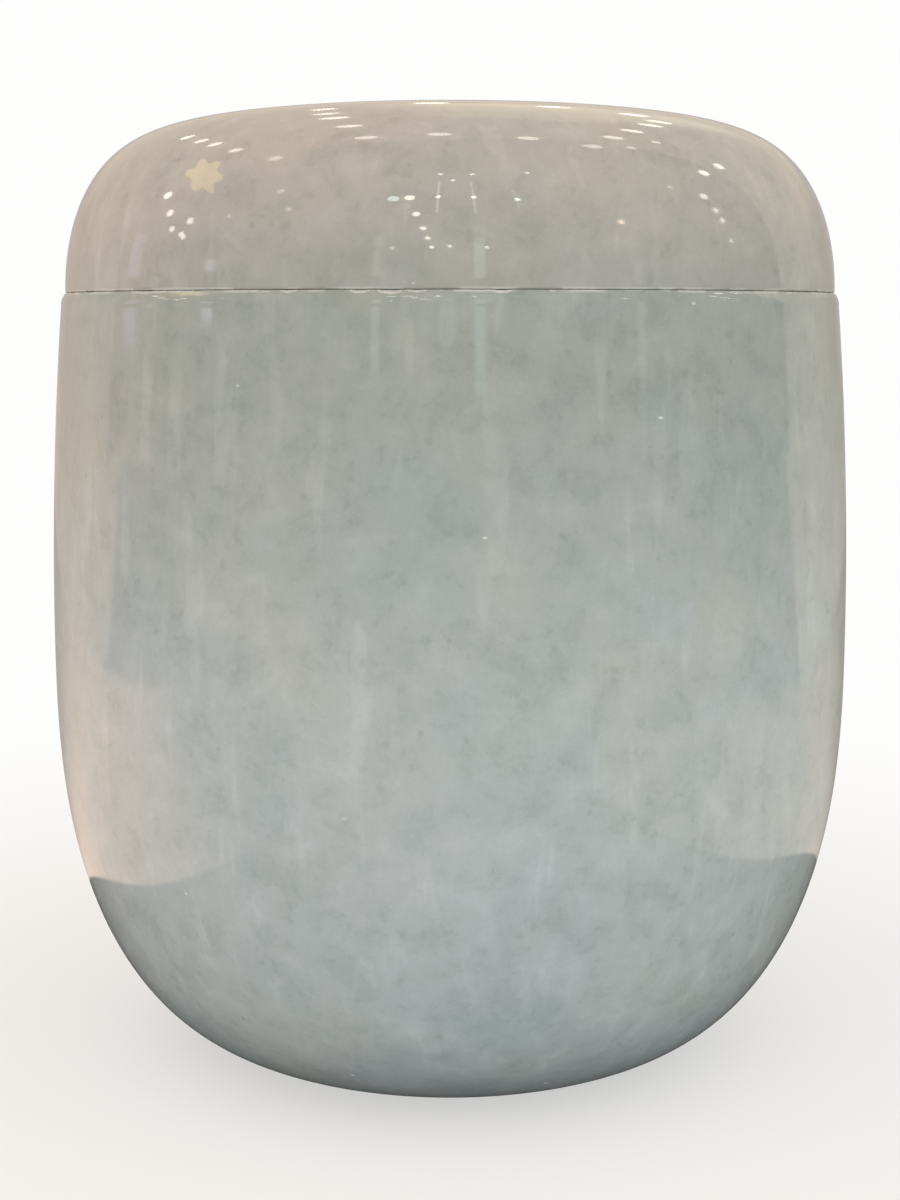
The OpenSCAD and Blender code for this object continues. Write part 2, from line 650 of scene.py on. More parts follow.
@dataclass(frozen=True)
class PolishedStone:
    """The finish of one turned piece. A span is where a mask rises from nothing to full."""

    name: str  # Name of the material.
    tone: StoneToneAndPaintedLight  # Colours of its block, with painted light in their turn with height.
    cut_from: tuple[float, float, float]  # Where in the block the piece was cut from.
    gloss: float = 0.05  # Roughness of the polished faces.
    honed: float = 0.42  # Roughness of the honed faces.
    broken: float = 0.6  # Roughness of a fresh break.
    refraction: float = 1.6  # Index of refraction.
    depth: float = 0.15 * MM  # Height of the bump.
    strength: float = 0.5  # Strength of the bump.

    CRUMBS, CRUMB_HEIGHT = Texture(900, 1, 0.7), 1.2
    CRUMB_COLOURS = ((0.5, 0.52, 0.5), (0.86, 0.87, 0.84))
    # The band along each arris is drawn pale with the crumb colours: part wear, part painted highlight of
    # the edge.
    RUB, RUB_SPAN, RUB_SHARE = Texture(75, 2, 0.6), (0.45, 0.57), 0.75
    RUB_REACH, LOST_SPAN = (0.2 * MM, 0.8 * MM), (0.02 * MM, 0.14 * MM)
    WORN_SHARE, DUST, DUST_SHARE = 0.8, (0.5, 0.5, 0.48), 0.25
    SMEAR, SMEAR_SPAN, SMEAR_LIMITS = Texture(34, 1, 0.6), (0.35, 0.75), (0.8, 1.7)
    PIT_HEIGHT, TOOL_HEIGHT = -0.4, 0.5

    def material(self) -> bpy.types.Material:
        """Builds the material.

        Returns:
            The material.
        """
        made = bpy.data.materials.new(self.name)
        w = emptied(made)
        coordinates = w.add("ShaderNodeTexCoord").outputs["Object"]
        place = w.vector("ADD", coordinates, self.cut_from)
        # Main colour with painted light: paler and bluer low on the body, lighter and warmer high on the
        # lid.
        ground = self.tone.ground(w, place, w.parts(coordinates)[2])
        given = {name: getattr(self.tone, name.lower()) for name in StoneFigure.TINTS}
        given |= {"Place": place, "Ground": ground}
        figure = w.add("ShaderNodeGroup", given, node_tree=StoneFigure.group())
        colour, pits, grain = figure.outputs
        lost, honed, from_edge = (
            w.add("ShaderNodeAttribute", attribute_name=name).outputs["Fac"]
            for name in ("lost", "honed", "from_edge")
        )
        crumbs = w.noise(place, self.CRUMBS)
        # Patchy pale band along the arris: part wear, part painted highlight.
        rub_and_highlight_patches = w.step(w.noise(place, self.RUB), *self.RUB_SPAN)
        edge_rub_and_highlight = w.times(w.step(from_edge, *self.RUB_REACH, 1.0, 0.0), rub_and_highlight_patches)
        wear_and_highlight = w.maths("MAXIMUM", w.times(edge_rub_and_highlight, self.RUB_SHARE), w.step(lost, *self.LOST_SPAN))

        # Chips and the band take the crumb colours; on the band that pale mix is partly a painted
        # highlight.
        colour = w.mix(w.times(wear_and_highlight, self.WORN_SHARE), colour, w.mix(crumbs, *self.CRUMB_COLOURS))
        colour = w.mix(w.times(honed, self.DUST_SHARE), colour, self.DUST)

        glossy = (self.gloss * limit for limit in self.SMEAR_LIMITS)
        smear = w.step(w.noise(place, self.SMEAR), *self.SMEAR_SPAN, *glossy)
        rough = w.blend(honed, smear, self.honed)
        rough = w.blend(w.maths("MAXIMUM", wear_and_highlight, pits), rough, self.broken)

        height = w.times(pits, self.PIT_HEIGHT)
        height = w.maths("ADD", height, w.times(w.times(crumbs, wear_and_highlight), self.CRUMB_HEIGHT))
        height = w.maths("ADD", height, w.times(w.times(grain, honed), self.TOOL_HEIGHT))
        given = {"Strength": self.strength, "Distance": self.depth, "Height": height}
        bump = w.result("ShaderNodeBump", given)
        given = {"Base Color": colour, "Roughness": rough, "Normal": bump, "IOR": self.refraction}
        stone = w.result("ShaderNodeBsdfPrincipled", given)
        w.finish("ShaderNodeOutputMaterial", stone)
        return made


@dataclass
class UrnBody:
    """The hollow turned body."""

    foot_radius: float = 50 * MM  # Radius of the level underside.
    belly_height: float = 116 * MM  # Height of the widest ring.
    lean: float = 4.2 * MM  # How far the wall leans in by its top.
    edge_height: float = 3.9 * MM  # Height of the sloping edge under the rim.
    edge_step: float = 1.3 * MM  # How far that edge steps in to the rim.
    edge_round: float = 2.6  # Fullness of that edge.
    rim_width: float = 16.5 * MM  # Width of the level rim.
    mouth_depth: float = 16 * MM  # Depth of the straight mouth.
    mouth_slope: float = 4 * MM  # Height of the slope from the mouth down to the hollow.
    inner_edge: float = 1 * MM  # Slope on the inner edge of the mouth.
    wall: float = 16 * MM  # Thickness of the wall.
    floor: float = 18 * MM  # Thickness of the floor.
    fullness_up: float = 2.51  # Fullness of the bottom curve, measured upwards.
    fullness_out: float = 2.16  # Fullness of the bottom curve, measured outwards.
    foot_fade: float = 25 * MM  # Height by which the unevenness of the polish has set in.
    rim_fade: Span = (8 * MM, 32 * MM)  # Distances from the rim over which it sets in.
    fine_band: float = 6 * MM  # Height of the finely divided band at the top of the wall.

    # Steps up the bottom curve, the wall, its fine band and the edge under the rim.
    BOWL_STEPS, WALL_STEPS, BAND_STEPS, EDGE_STEPS = 56, 26, 12, 13
    # Steps up the bottom curve and the wall of the hollow.
    HOLLOW_STEPS, HOLLOW_WALL_STEPS = 40, 10
    # Radius in millimetres and corners of each ring of the underside.
    UNDERSIDE = ((4, 30), (8, 60), (14, 120), (24, 240), (36, 480), (44, 480), (48.5, 480))
    # Distances from the arris of the rim's fine rings, in millimetres, and of its first ordinary one.
    RIM_FINE, RIM_COARSE = (0.35, 0.7, 1.1, 1.6, 2.4), 4 * MM
    # Shares of the mouth's depth and of the hollow floor's radius that have a ring, and the share of
    # that radius from which a ring has all its corners.
    MOUTH_RINGS, FLOOR_RINGS, FLOOR_FULL = (0.05, 0.5, 1.0), (0.96, 0.7, 0.45, 0.25, 0.12), 0.5
    # Flakes at the sides and back: how many, between which angles, the longest and the seed.
    FLAKES = (44, (62, 305), 8 * MM, 11)

    def __post_init__(self) -> None:
        """Reads the overall sizes from the frame."""
        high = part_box("urn_body")[1]
        self.radius = high.x
        self.rim_height = high.z
        self.shoulder = self.radius - self.lean
        self.rim_radius = self.shoulder - self.edge_step
        self.mouth = self.rim_radius - self.rim_width
        self.wall_top = self.rim_height - self.edge_height

    def bowl(self, share: float) -> Point:
        """Point of the rounded bottom.

        Args:
            share: Place on it, from the underside's edge (0) to the widest ring (1).

        Returns:
            Its radius and height.
        """
        angle = share * math.pi / 2
        out = max(math.sin(angle), 0) ** (2 / self.fullness_out)
        up = max(math.cos(angle), 0) ** (2 / self.fullness_up)
        radius = self.foot_radius + (self.radius - self.foot_radius) * out
        return radius, self.belly_height * (1 - up)

    def side(self, share: float) -> Point:
        """Point of the side wall, from the widest ring (0) to the sloping edge (1)."""
        height = self.belly_height + (self.wall_top - self.belly_height) * share
        return self.radius - self.lean * share * share, height

    def rim_edge(self, share: float) -> Point:
        """Point of the softened edge under the rim, from the wall (0) to the rim (1)."""
        radius = self.rim_radius + self.edge_step * (1 - share**self.edge_round)
        return radius, self.wall_top + self.edge_height * share

    def underside(self) -> list[Ring]:
        """Rings of the level underside, from its middle outwards."""
        return [honed(radius * MM, 0.0, around) for radius, around in self.UNDERSIDE]

    def outside(self) -> list[Ring]:
        """The bottom curve, the wall and the edge under the rim.

        Returns:
            Their rings, upwards.
        """
        rings = []
        for share in shares(self.BOWL_STEPS, first=0):
            radius, height = self.bowl(share)
            rings.append(Ring(radius, height, AROUND, uneven=eased(height, 0, self.foot_fade)))
        band = 1 - self.fine_band / (self.wall_top - self.belly_height)
        for share in shares(self.WALL_STEPS):
            radius, height = self.side(band * share)
            away = self.rim_height - height
            rings.append(Ring(radius, height, AROUND, edge=away, uneven=eased(away, *self.rim_fade)))
        line = [self.side(band + (1 - band) * share) for share in shares(self.BAND_STEPS)]
        line += [self.rim_edge(share) for share in shares(self.EDGE_STEPS)]
        return rings + [Ring(r, h, FINE, edge=self.rim_height - h) for r, h in line]

    def rim(self) -> list[Ring]:
        """The level rim and the mouth's edge.

        Returns:
            Their rings, inwards.
        """
        edge, top = self.rim_radius, self.rim_height
        rings = [honed(edge - away * MM, top, FINE, -away * MM) for away in self.RIM_FINE]
        for away in (self.RIM_COARSE, self.rim_width / 2, self.rim_width - self.inner_edge):
            rings.append(honed(edge - away, top, AROUND, -away))
        return rings + [honed(self.mouth, top - self.inner_edge, AROUND)]

    def hollow(self) -> list[Ring]:
        """The mouth, the hollow and its floor.

        Returns:
            Their rings, down and in to the middle.
        """
        rings = []
        for share in self.MOUTH_RINGS:
            height = self.rim_height - self.mouth_depth * share
            rings.append(honed(self.mouth, height, INSIDE))
        line = [self.bowl(share) for share in shares(self.HOLLOW_STEPS, first=0)]
        line += [self.side(share) for share in shares(self.HOLLOW_WALL_STEPS)]
        lowest = self.rim_height - self.mouth_depth - self.mouth_slope
        kept = [p for p in thickened(line, self.wall) if self.floor < p[1] < lowest]
        rings += [honed(radius, height, INSIDE) for radius, height in reversed(kept)]
        for share in self.FLOOR_RINGS:
            rings.append(honed(kept[0][0] * share, self.floor, narrowing(share, INSIDE, self.FLOOR_FULL)))
        return rings

    def build(self) -> bpy.types.Object:
        """Builds and dresses the body.

        Returns:
            The finished piece.
        """
        chips = [Chip(angle, *(size * MM for size in sizes)) for angle, *sizes in FRONT_CHIPS]
        chips += drawn_chips(*self.FLAKES)
        arris = Arris(self.rim_radius, tuple(chips), sinks=-1.0, seed=3)
        work = HandWork(0.012 * MM, shortest=26 * MM, seed=21)
        rings = self.underside() + self.outside() + self.rim() + self.hollow()
        piece = Turning("body_of_urn", rings, work, arris).build()
        piece.data.materials.append(BODY_STONE.material())
        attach(piece, "root")
        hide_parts("urn_body")
        return piece


@dataclass
class UrnLid:
    """The hollow turned lid with its spigot."""

    body: UrnBody  # The body that it sits on.
    spigot_gap: float = 0.8 * MM  # Gap around the spigot inside the mouth.
    spigot: float = 8 * MM  # Thickness of the spigot's ring.
    dome: float = 14 * MM  # Thickness of the dome.
    seam_round: float = 0.5 * MM  # Rounding of the outer lower edge.
    relief: float = 0.08 * MM  # How far the outermost underside is eased off the rim.
    relief_width: float = 3.5 * MM  # Width of that easing.
    inner_edge: float = 1 * MM  # Slope on the foot of the spigot.
    bore_edge: float = 0.4 * MM  # Slope on the foot of its bore.
    squareness_out: float = 7.2  # Squareness of the shoulder, measured outwards.
    squareness_up: float = 1.97  # Squareness of the shoulder, measured upwards.
    crown_fall: float = 0.1  # Share of the crown that falls away gently.
    ease: float = 2.4  # How closely the steps crowd together near the edge.
    polish_fade: Span = (2 * MM, 16 * MM)  # Heights above the edge over which the unevenness sets in.
    middle: float = 4 * MM  # Radius of the level disc at the axis.
    full_radius: float = 40 * MM  # Radius from which a ring has all its corners.

    # Steps over the hollow, the rounded lower edge and the outside.
    HOLLOW_STEPS, EDGE_STEPS, DOME_STEPS = 44, 6, 92
    # Drop of the bore's first ring below the dome's hollow.
    BORE_DROP = 0.5 * MM
    # Distances in from the edge of the seat's ordinary rings, and shares of the relief of its fine ones.
    SEAT_COARSE, SEAT_FINE = (9 * MM, 5 * MM), (0.7, 0.4, 0.2)
    # Heights above the rounded edge of the wall's fine rings and of its first ordinary one.
    WALL_FINE, WALL_COARSE = (0.8 * MM, 1.6 * MM), 2.2 * MM
    # Flakes all round: how many, between which angles, the longest and the seed.
    FLAKES = (16, (0, 360), 2.6 * MM, 5)

    def __post_init__(self) -> None:
        """Reads the overall sizes from the frame."""
        low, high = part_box("urn_lid")
        self.radius = high.x
        self.seat = self.body.rim_height
        self.height = high.z - self.seat
        self.spigot_low = low.z
        self.spigot_radius = self.body.mouth - self.spigot_gap
        self.bore = self.spigot_radius - self.spigot

    def rise(self, share: float) -> float:
        """Height of the dome above the seam, where share is the part of its radius."""
        fall = (1 - self.crown_fall) * share**self.squareness_out + self.crown_fall * share**2
        return self.height * max(1 - fall, 0.0) ** (1 / self.squareness_up)

    def shell(self, steps: int) -> list[Point]:
        """Points of the outside, in steps from the lower edge towards the crown."""
        parts = (1 - (i / steps) ** self.ease for i in range(steps))
        return [(self.radius * share, self.seat + self.rise(share)) for share in parts]

    def underside(self) -> list[Ring]:
        """The hollow, the spigot and the seat.

        Returns:
            Their rings, from the middle down the spigot and out to the lower edge.
        """
        line = thickened(self.shell(self.HOLLOW_STEPS), self.dome)
        kept = [p for p in line if self.middle < p[0] < self.bore]
        full = self.full_radius
        rings = [honed(r, h, narrowing(r, INSIDE, full)) for r, h in reversed(kept)]
        low, outer = self.spigot_low, self.spigot_radius
        for height in (kept[0][1] - self.BORE_DROP, self.seat, low + self.bore_edge):
            rings.append(honed(self.bore, height, INSIDE))
        rings.append(honed(self.bore + self.bore_edge, low, INSIDE))
        rings.append(honed(outer - self.inner_edge, low, AROUND))
        rings += [honed(outer, height, AROUND) for height in (low + self.inner_edge, self.seat)]
        edge = self.radius - self.seam_round
        for away in (*self.SEAT_COARSE, self.relief_width):
            rings.append(honed(edge - away, self.seat, AROUND, -away))
        for share in self.SEAT_FINE:
            away, lift = self.relief_width * share, self.relief * (1 - share)
            rings.append(honed(edge - away, self.seat + lift, FINE, -away))
        return rings

    def outside(self) -> list[Ring]:
        """The rounded lower edge, the wall and the dome.

        Returns:
            Their rings, up to the crown.
        """
        rings = []
        low = self.seat + self.relief
        for share in shares(self.EDGE_STEPS, first=0):
            angle = math.pi / 2 * share
            radius = self.radius - self.seam_round * (1 - math.sin(angle))
            height = low + self.seam_round * (1 - math.cos(angle))
            rings.append(Ring(radius, height, FINE, edge=self.seam_round * share))
        start = low + self.seam_round
        for height in (start + rise for rise in self.WALL_FINE):
            rings.append(Ring(self.wall_radius(height), height, FINE, edge=height - low))
        for radius, height in self.shell(self.DOME_STEPS):
            if height >= start + self.WALL_COARSE and radius >= self.middle:
                around = narrowing(radius, AROUND, self.full_radius)
                fade = eased(height - start, *self.polish_fade)
                rings.append(Ring(radius, height, around, edge=height - low, uneven=fade))
        return rings

    def wall_radius(self, height: float) -> float:
        """Radius of the outside at a height near the lower edge."""
        rise = ((height - self.seat) / self.height) ** self.squareness_up
        return self.radius * (1 - rise / (1 - self.crown_fall)) ** (1 / self.squareness_out)

    def build(self) -> bpy.types.Object:
        """Builds and dresses the lid.

        Returns:
            The finished piece.
        """
        arris = Arris(self.radius, tuple(drawn_chips(*self.FLAKES)), sinks=1.0, seed=4)
        work = HandWork(0.008 * MM, shortest=30 * MM, seed=22)
        piece = Turning("lid_of_urn", self.underside() + self.outside(), work, arris).build()
        piece.data.materials.append(LID_STONE.material())
        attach(piece, "root")
        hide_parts("urn_lid")
        return piece


# The body turns paler and bluer towards the bottom: painted light bounced up from the floor.
BODY_STONE = PolishedStone(
    name="jade_body",
    tone=StoneToneAndPaintedLight(low=(0.425, 0.464, 0.465), high=(0.34, 0.37, 0.348), turns=(0.105, 0.205)),
    cut_from=(0.0, 0.0, 0.0),
)
# The lid turns lighter and warmer towards the crown: painted light from overhead.
LID_STONE = PolishedStone(
    name="jade_lid",
    tone=StoneToneAndPaintedLight(low=(0.372, 0.378, 0.352), high=(0.45, 0.425, 0.392), turns=(0.216, 0.246)),
    cut_from=(0.4, 0.25, 0.6),
)


@dataclass(frozen=True)
class LampRow:
    """Ceiling lamps that show as points of light in the polish."""

    name: str  # Name of the row.
    places: tuple[Point, ...]  # Where each lamp hangs, to the right of the urn and behind it.
    radius: float = 0.08  # Radius of a lamp.
    light: Colour = (12.0, 11.0, 9.4)  # Its colour and strength.
    petals: int = 0  # Number of petals round its edge, where it isn't plainly round.
    squeeze: float = 1.0  # Its narrow way over its long way.
    lean: float = 0.0  # Angle of its long way from level, in degrees.

    def outline(self) -> list[Vector]:
        """Shape of one lamp.

        Returns:
            Its corners, about its own centre.
        """
        corners = []
        lean = math.radians(self.lean)
        for share in shares(LAMP_CORNERS):
            turn = FULL_TURN * share
            reach = self.radius
            if self.petals:
                reach *= 1 - PETAL_DEPTH + PETAL_DEPTH * math.cos(self.petals * turn)
            long, narrow = reach * math.cos(turn), self.squeeze * reach * math.sin(turn)
            right = long * math.cos(lean) - narrow * math.sin(lean)
            corners.append(Vector((right, long * math.sin(lean) + narrow * math.cos(lean), 0)))
        return corners


@dataclass(frozen=True)
class Glow:
    """A soft patch of light in the surroundings, given by its direction in degrees."""

    azimuth: float  # Direction round the urn, from the front and growing to the right.
    elevation: float  # Height above the horizon.
    wide: float  # Half of its width.
    tall: float  # Half of its height.
    soft: float  # How far its edges fade.
    colour: Colour  # Its colour and strength.

    def share(self, w: Wiring, azimuth: Socket, elevation: Socket) -> Socket:
        """How much of it shows in each direction.

        Args:
            w: Wiring of the surroundings' tree.
            azimuth: Bearing of the direction.
            elevation: Its height above the horizon.

        Returns:
            The share's output socket.
        """
        turn = w.maths("WRAP", w.maths("SUBTRACT", azimuth, self.azimuth), WRAP, -WRAP)
        above = w.maths("ABSOLUTE", w.maths("SUBTRACT", elevation, self.elevation))
        across = w.step(w.maths("ABSOLUTE", turn), self.wide + self.soft, self.wide)
        return w.times(across, w.step(above, self.tall + self.soft, self.tall))


# Corners of a lamp, and half the depth of the dips between its petals, as a share of its radius.
LAMP_CORNERS, PETAL_DEPTH = 48, 0.17
# Half a turn in degrees, where the bearing of a glow wraps round.
WRAP = 180.0
# Light of the lamps whose points show over the top of the lid.
TOP_LIGHT = (5.5, 5.0, 4.3)
LAMP_ROWS = (
    LampRow(
        "far_left",
        ((-1.8, 2.87), (-1.8, 2.03), (-1.8, 1.46), (-1.8, 0.74), (-1.66, -0.15)),
        0.085,
        TOP_LIGHT,
    ),
    LampRow("left", ((-0.6, 1.95), (-0.6, 1.01), (-0.6, 0.18)), 0.085, TOP_LIGHT),
    LampRow("far_back_left", ((-0.6, 4.08), (-0.6, 2.74)), 0.07, TOP_LIGHT),
    LampRow("middle", ((-0.07, 0.2), (-0.09, 5.68), (0.56, 0.12), (0.49, 4.62)), 0.085, TOP_LIGHT),
    LampRow(
        "right",
        ((1.15, 0.09), (1.15, 0.75), (1.15, 1.45), (1.15, 2.36), (1.15, 3.16), (0.93, 4.04)),
        0.09,
        TOP_LIGHT,
    ),
    LampRow("front", ((-0.66, -2.8), (-0.7, -3.85), (-0.7, -5.09), (-0.7, -6.27), (-0.7, -7.75)), 0.085),
    LampRow("across_left", ((-0.94, -2.8),), 0.1, (6.0, 7.0, 7.2)),
    LampRow("across", ((-0.19, -2.8), (0.39, -2.8), (1.13, -2.8)), 0.045, (14.0, 16.0, 16.0)),
    LampRow(
        "across_near", ((-0.11, -1.69), (0.26, -1.68), (0.04, -1.97), (0.9, -1.47)), 0.03, (8.0, 9.0, 9.0)
    ),
    LampRow("far_front", ((-2.25, -7.69), (1.42, -7.69), (0.0, -7.6)), 0.09, (8.0, 8.0, 7.0)),
    LampRow("far_yellow", ((3.98, -3.07),), 0.09, (10.0, 8.5, 5.0)),
    LampRow("near_right", ((1.49, 0.4), (1.54, 1.03), (2.78, 1.19), (3.06, -0.56)), 0.045, TOP_LIGHT),
    LampRow(
        "right_side",
        ((2.9, 0.63), (2.8, 1.26), (4.0, -0.08), (5.1, -0.08), (6.1, -0.08), (9.1, -0.08)),
        0.1,
        (8.0, 7.5, 6.8),
    ),
    LampRow(
        "left_side",
        ((-4.36, 0.89), (-5.59, 0.43), (-7.2, 0.0), (-7.65, -0.61), (-5.89, -0.6), (-8.0, -0.8)),
        0.13,
        (8.0, 7.5, 6.6),
    ),
    LampRow("left_near", ((-2.51, -1.53), (-4.66, -1.65), (-3.07, -2.47)), 0.06, (5.0, 4.8, 4.4)),
    LampRow("flower", ((-2.9, 0.38),), 0.86, (2.9, 2.2, 1.0), 6, 0.41, 23.6),
)
GLOWS = (
    Glow(170, 40, 8, 12, 8, (0.42, 0.38, 0.26)),
    Glow(-103, 10, 2.2, 5, 1.5, (0.6, 0.5, 0.8)),
    Glow(-93.3, 2.2, 1.8, 2.4, 0.6, (0.5, 0.5, 0.48)),
    Glow(-82, 1.8, 2.0, 2.2, 1, (0.3, 0.33, 0.42)),
    Glow(-20.5, 14.2, 0.9, 7.4, 0.7, (1.0, 1.0, 0.93)),
    Glow(8.3, 13.7, 1.1, 7.8, 0.9, (0.85, 1.25, 1.25)),
    Glow(54.5, 6, 0.7, 4, 0.8, (0.45, 0.5, 0.5)),
    Glow(-4, 43, 0.1, 9, 0.35, (2.8, 3.5, 3.6)),
    Glow(8, 42.5, 0.1, 9, 0.35, (2.2, 2.8, 2.9)),
    Glow(22, 41, 0.1, 5, 0.35, (2.0, 2.4, 2.4)),
    Glow(8.5, 25, 1.6, 2.6, 0.6, (0.5, 0.5, 0.45)),
    Glow(-72, 9, 1.6, 1.4, 0.8, (1.2, 1.4, 1.7)),
)
# The room, and the walls near the edges of what the polish shows.
ROOM, HIGH_ROOM, HIGH_SPAN = (0.27, 0.28, 0.28), (0.36, 0.34, 0.31), (12, 45)
RIGHT_WALL, RIGHT_FAR = (0.83, 0.76, 0.66), (0.47, 0.42, 0.37)
LEFT_WALL, LEFT_FAR = (1.08, 0.86, 0.73), (0.66, 0.54, 0.46)
# Bearings where the walls begin and where they turn into their far parts: above, then on the floor.
RIGHT_START, LEFT_START, FAR_START = (109, 110.5), (-110, -112), (116, 150)
RIGHT_FOOT, LEFT_FOOT, FAR_FOOT = (106.5, 108.5), (-102, -106), (114, 150)
# A warm screen on the left, the ceiling over the walls, and the skirting behind, with where they are.
SCREEN, SCREEN_SIDES = (0.85, 0.62, 0.54), (-112, -90, 9)
CEILING, CEILING_START, CEILING_LOW = (0.78, 0.68, 0.56), (105, 125), (9, 16)
SKIRTING, SKIRTING_START, SKIRTING_TOP = (0.52, 0.49, 0.5), (150, 165), (15, 9)
# The bright shelf: its sides and their softness, its front, and its right and left colours.
SHELF_SIDES, SHELF_FRONT = (-0.71, 0.65, 0.09), (-0.24, -0.02)
SHELF, SHELF_FAR = ((1.38, 1.04, 0.84), (0.9, 0.79, 0.68)), ((0.46, 0.41, 0.37), (0.34, 0.3, 0.26))
SHELF_TURN, SHELF_FAR_START = (-0.05, 0.05), (110, 146)
# A dark round patch that the polish shows under the urn: its middle to the right, its edge and its front.
DARK_PATCH, DARK_PATCH_MIDDLE, DARK_PATCH_EDGE, DARK_PATCH_FRONT = (0.075, 0.08, 0.075), 0.016, (0.203, 0.209), (-0.21, -0.19)
# Light that matt faces get from the floor: behind and ahead, its tints at the sides, and the shade
# close to the urn.
FLOOR_BEHIND, FLOOR_AHEAD, AHEAD_SPAN = (0.8, 0.75, 0.69), (0.95, 1.0, 1.03), (0.1, -0.55)
FLOOR_TINTS = (((-0.02, -0.2), (1.02, 0.93, 0.87)), ((0.03, 0.2), (0.92, 0.885, 0.85)))
SHADE, SHADE_SPAN = (0.12, 0.12, 0.12), (0.06, 0.18)
# Least distance from the axis that a bearing is worked out from.
LEAST_AWAY = 0.01
# Light that they get from above: low and high, and its tints to the left, to the right and behind.
LOW_SKY, HIGH_SKY, SKY_SPAN = (0.97, 1.0, 1.02), (1.2, 1.12, 1.02), (-20, 60)
SKY_TINTS = (
    (0, (-0.2, -1.0), (1.22, 1.0, 0.9)),
    (0, (0.2, 0.9), (1.12, 1.1, 1.05)),
    (1, (-0.6, 1.0), (0.5, 0.5, 0.5)),
)
# The floor as the eye sees it: its corners, its matt white, and how far and how much that shows.
FLOOR_CORNERS, MATT, MATT_SPAN = 96, (0.9, 0.9, 0.9), (0.12, 0.5, 0.55, 1.0)


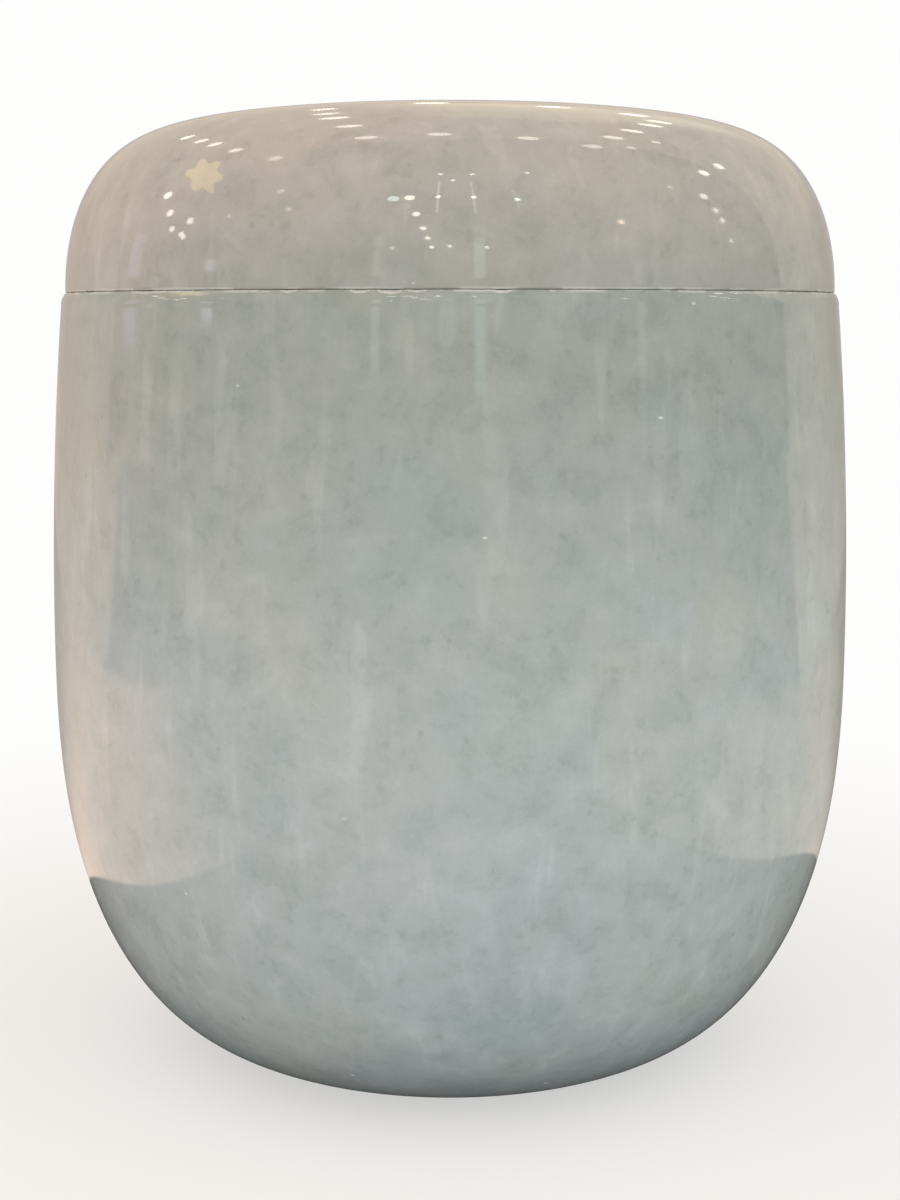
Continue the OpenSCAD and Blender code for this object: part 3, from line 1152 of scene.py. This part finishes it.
@dataclass
class Studio:
    """Floor, surroundings, lamps and camera."""

    floor_radius: float = 12.0  # Radius of the floor.
    lamp_height: float = 2.7  # Height of the lamps.
    lamps_face: float = 0.25  # Height on the urn's axis that the lamps face.
    white: Colour = (0.985, 0.985, 0.98)  # Colour of the floor and the background to the eye.
    stand: tuple[float, float, float] = (0, -0.565, 0.2093)  # Where the camera stands.
    tip: float = 8.288  # How far it is tipped down, in degrees.
    lens: float = 58.83  # Its focal length in millimetres.
    sensor: float = 36  # Width of its picture plane in millimetres.

    def floor(self) -> None:
        """A pale floor, whose reflection in the polish is dark close to the urn."""
        turns = [FULL_TURN * share for share in shares(FLOOR_CORNERS)]
        corners = [(self.floor_radius * math.cos(t), self.floor_radius * math.sin(t), 0) for t in turns]
        sheet = placed("floor", corners, [tuple(range(FLOOR_CORNERS))])
        made = bpy.data.materials.new("pale_floor")
        made.cycles.emission_sampling = "NONE"
        w = emptied(made)
        place = w.add("ShaderNodeTexCoord").outputs["Object"]
        away = w.vector("LENGTH", place, out="Value")
        right, behind, _ = w.parts(place)
        azimuth = w.bearing(right, behind)
        aside = w.maths("ABSOLUTE", azimuth)

        far = w.step(aside, *FAR_FOOT)
        shelf, shelf_far = (w.mix(w.step(right, *SHELF_TURN), *sides) for sides in (SHELF, SHELF_FAR))
        across = {0: w.maths("SUBTRACT", right, DARK_PATCH_MIDDLE), 1: w.maths("MAXIMUM", behind, 0.0)}
        from_middle = w.vector("LENGTH", w.result("ShaderNodeCombineXYZ", across), out="Value")
        on_shelf = w.times(w.within(right, *SHELF_SIDES), w.step(behind, *SHELF_FRONT))
        on_dark_patch = w.times(w.step(from_middle, *DARK_PATCH_EDGE, 1.0, 0.0), w.step(behind, *DARK_PATCH_FRONT))
        room = (
            (w.step(azimuth, *RIGHT_FOOT), w.mix(far, RIGHT_WALL, RIGHT_FAR)),
            (w.step(azimuth, *LEFT_FOOT), w.mix(far, LEFT_WALL, LEFT_FAR)),
            (on_shelf, w.mix(w.step(aside, *SHELF_FAR_START), shelf, shelf_far)),
            (on_dark_patch, DARK_PATCH),
        )
        gloss = w.layered(ROOM, room)

        ahead = w.maths("DIVIDE", behind, w.maths("MAXIMUM", away, LEAST_AWAY))
        matt = w.mix(w.step(ahead, *AHEAD_SPAN), FLOOR_BEHIND, FLOOR_AHEAD)
        tints = ((w.step(right, *span), tint) for span, tint in FLOOR_TINTS)
        matt = w.mix(w.step(away, *SHADE_SPAN), SHADE, w.layered(matt, tints, "MULTIPLY"))

        path = w.add("ShaderNodeLightPath").outputs
        matt, gloss, white = (w.light("ShaderNodeEmission", light) for light in (matt, gloss, self.white))
        unseen = w.shared(path["Is Glossy Ray"], matt, gloss)
        eye = w.shared(w.step(away, *MATT_SPAN), w.light("ShaderNodeBsdfDiffuse", MATT), white)
        w.finish("ShaderNodeOutputMaterial", w.shared(path["Is Camera Ray"], unseen, eye))
        sheet.data.materials.append(made)

    def surroundings(self) -> None:
        """The room around the urn, which the polish shows and the eye sees as plain white."""
        world = bpy.data.worlds.new("surroundings")
        bpy.context.scene.world = world
        w = emptied(world)
        world.cycles.sampling_method = "NONE"
        heading = w.parts(w.add("ShaderNodeTexCoord").outputs["Generated"])
        elevation = w.maths("DEGREES", w.maths("ARCSINE", heading[2]))
        azimuth = w.bearing(*heading[:2])
        aside = w.maths("ABSOLUTE", azimuth)
        far = w.step(aside, *FAR_START)
        ceiling = w.times(w.step(aside, *CEILING_START), w.step(elevation, *CEILING_LOW))
        skirting = w.times(w.step(aside, *SKIRTING_START), w.step(elevation, *SKIRTING_TOP))
        room = (
            (w.step(elevation, *HIGH_SPAN), HIGH_ROOM),
            (w.within(azimuth, *SCREEN_SIDES), SCREEN),
            (w.step(azimuth, *RIGHT_START), w.mix(far, RIGHT_WALL, RIGHT_FAR)),
            (w.step(azimuth, *LEFT_START), w.mix(far, LEFT_WALL, LEFT_FAR)),
            (ceiling, CEILING),
            (skirting, SKIRTING),
        )
        glows = ((glow.share(w, azimuth, elevation), glow.colour) for glow in GLOWS)
        gloss = w.layered(w.layered(ROOM, room), glows, "ADD")
        tints = ((w.step(heading[axis], *span), tint) for axis, span, tint in SKY_TINTS)
        matt = w.mix(w.step(elevation, *SKY_SPAN), LOW_SKY, HIGH_SKY)
        matt = w.layered(matt, tints, "MULTIPLY")
        path = w.add("ShaderNodeLightPath").outputs
        matt, gloss, eye = (w.light("ShaderNodeBackground", light) for light in (matt, gloss, self.white))
        unseen = w.shared(path["Is Glossy Ray"], matt, gloss)
        w.finish("ShaderNodeOutputWorld", w.shared(path["Is Camera Ray"], unseen, eye))

    def lamps(self) -> None:
        """The ceiling lamps, which only the polish shows."""
        for row in LAMP_ROWS:
            corners, faces = [], []
            for place in row.places:
                middle = Vector((*place, self.lamp_height))
                facing = (Vector((0, 0, self.lamps_face)) - middle).to_track_quat("Z", "Y")
                faces.append(tuple(range(len(corners), len(corners) + LAMP_CORNERS)))
                corners += [middle + facing @ corner for corner in row.outline()]
            lamps = placed("lamps_" + row.name, corners, faces)
            glass = bpy.data.materials.new("glass_" + row.name)
            glass.cycles.emission_sampling = "NONE"
            w = emptied(glass)
            w.finish("ShaderNodeOutputMaterial", w.light("ShaderNodeEmission", row.light))
            lamps.data.materials.append(glass)
            lamps.visible_camera = lamps.visible_diffuse = lamps.visible_shadow = False

    def camera(self) -> None:
        """The camera, a little above the urn's middle and tipped slightly down."""
        data = bpy.data.cameras.new("camera")
        data.sensor_fit = "AUTO"
        data.sensor_width = self.sensor
        data.lens = self.lens
        camera = bpy.data.objects.new("camera", data)
        camera.location = self.stand
        camera.rotation_euler = (math.radians(90 - self.tip), 0, 0)
        bpy.context.scene.collection.objects.link(camera)
        bpy.context.scene.camera = camera

    def build(self) -> None:
        """Sets up the whole studio."""
        self.floor()
        self.surroundings()
        self.lamps()
        self.camera()
        bpy.context.scene.view_settings.view_transform = "Standard"


def main() -> None:
    """Builds the urn and its studio, and notes how many corners and triangles each built piece has."""
    logging.basicConfig(level=logging.INFO, format="%(name)s: %(message)s")
    body = UrnBody()
    for piece in (body.build(), UrnLid(body).build()):
        mesh = piece.data
        triangles = sum(len(face.vertices) - 2 for face in mesh.polygons)
        LOG.info("%s: %d corners, %d triangles", piece.name, len(mesh.vertices), triangles)
    Studio().build()
    LOG.info("studio: floor, surroundings, lamps and camera")


if __name__ == "__main__":
    main()
